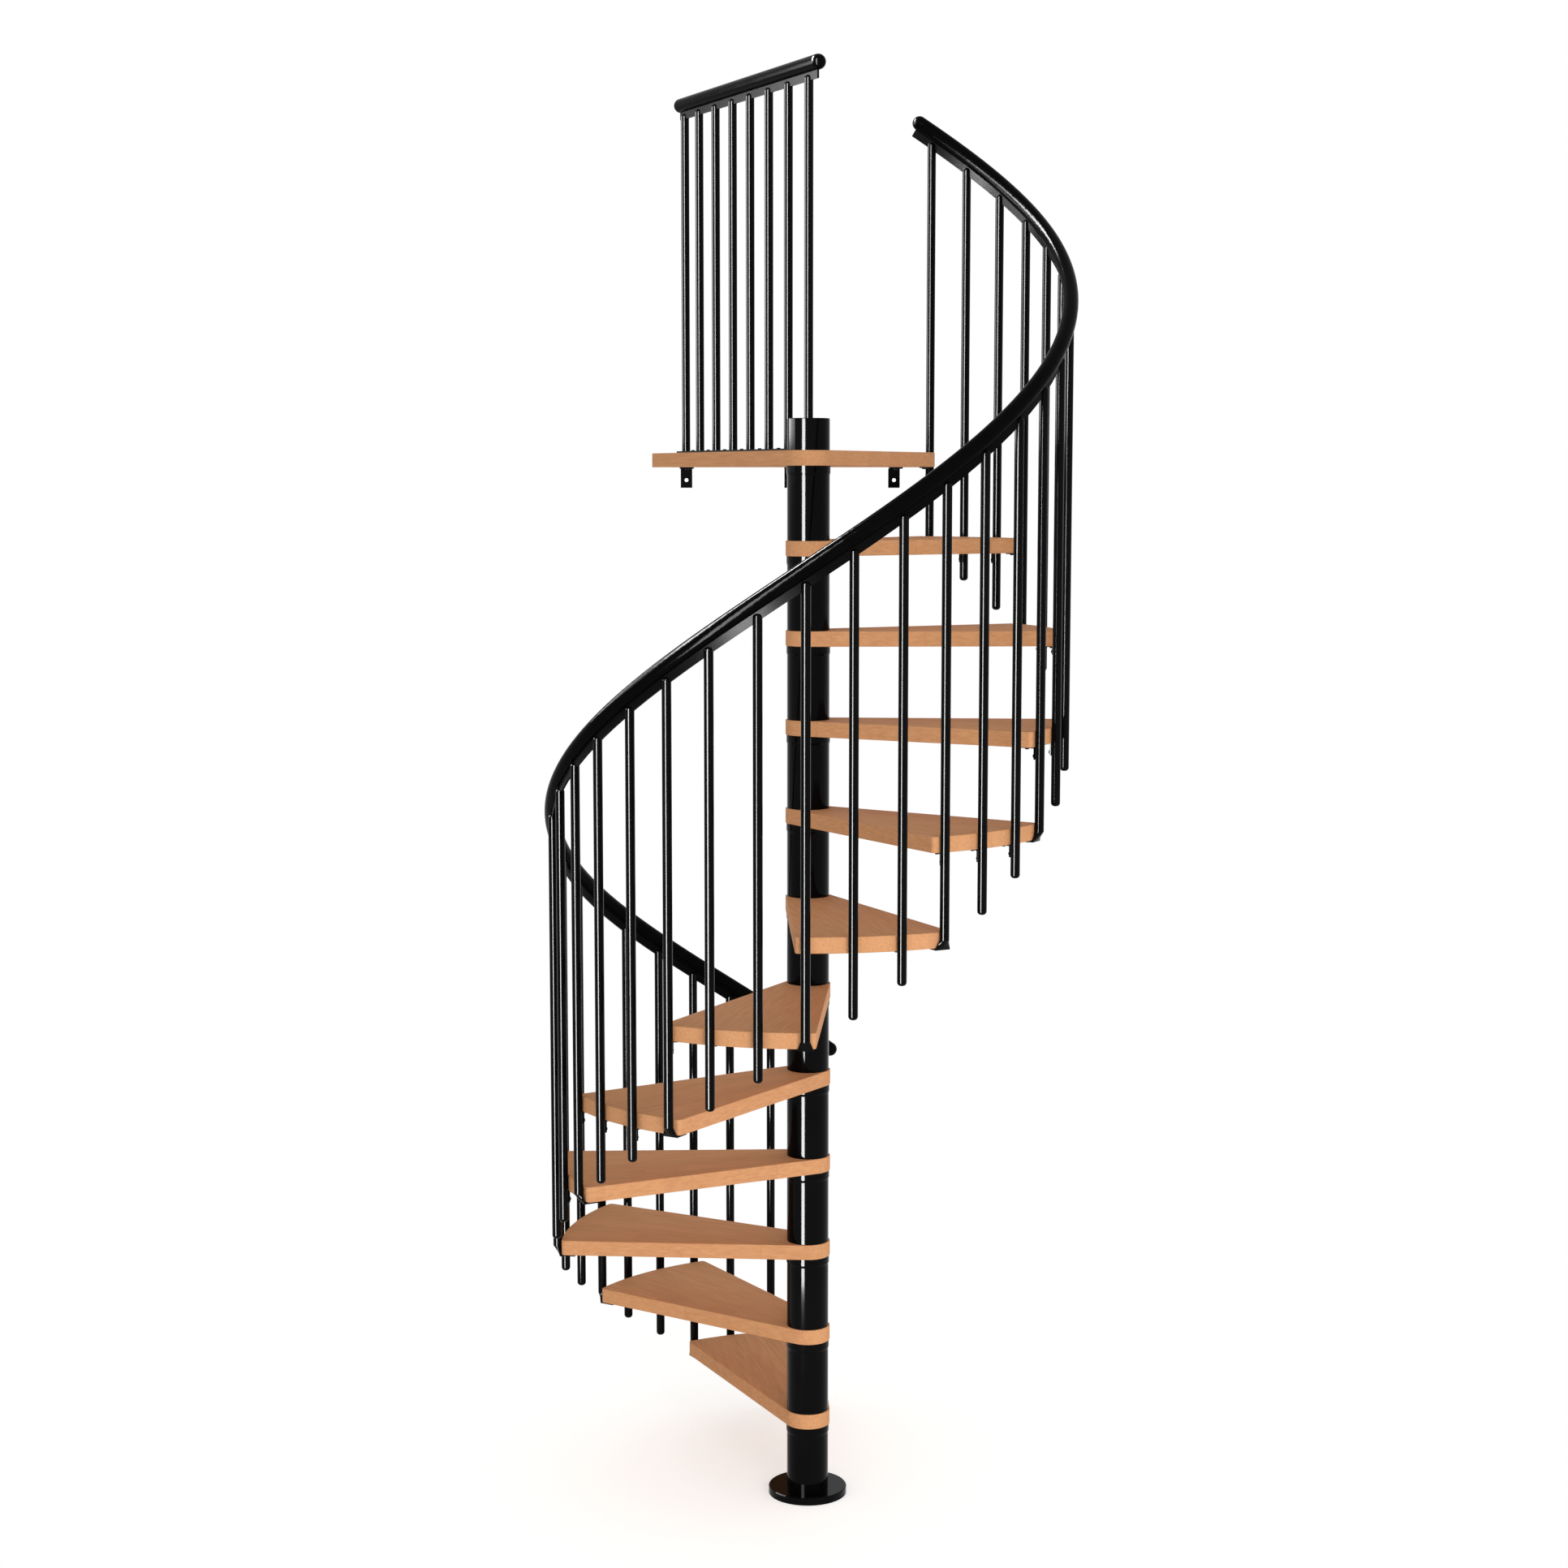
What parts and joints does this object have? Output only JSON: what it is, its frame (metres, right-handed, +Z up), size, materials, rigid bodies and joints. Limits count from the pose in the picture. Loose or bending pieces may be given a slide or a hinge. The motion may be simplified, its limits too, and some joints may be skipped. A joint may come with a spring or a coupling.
{
  "type": "spiral staircase",
  "caption": "Spiral staircase with wooden wedge treads on a round black column, a helical handrail on vertical rods, and a railed landing.",
  "frame": {"origin": "centre of the base plate's underside, on the floor", "axes": "+Z up along the column; +Y towards the landing's straight back edge; +X to the right in the picture's view"},
  "size_m": [1.2448, 1.3284, 3.417],
  "materials": {
    "wood": "stave-glued beech, oiled",
    "steel": "gloss black powder coat",
    "rail": "gloss black"
  },
  "bodies": {
    "root": {"tread_01": "wood", "tread_02": "wood", "tread_03": "wood", "tread_04": "wood", "tread_05": "wood", "tread_06": "wood", "tread_07": "wood", "tread_08": "wood", "tread_09": "wood", "tread_10": "wood", "tread_11": "wood", "landing": "wood", "base_plate": "steel", "base_rosette": "steel", "column_pole": "steel", "column_tubes": "steel", "column_collars": "steel", "column_cap": "steel", "start_baluster": "steel", "rod_clips": "steel", "handrail_band": "steel", "landing_strip": "steel", "landing_balusters": "steel", "landing_band": "steel", "landing_angles": "steel", "balusters_01": "steel", "balusters_02": "steel", "balusters_03": "steel", "balusters_04": "steel", "balusters_05": "steel", "balusters_06": "steel", "balusters_07": "steel", "balusters_08": "steel", "balusters_09": "steel", "balusters_10": "steel", "balusters_11": "steel", "handrail": "rail", "landing_rail": "rail", "rail_caps": "rail"}
  },
  "joints": []
}
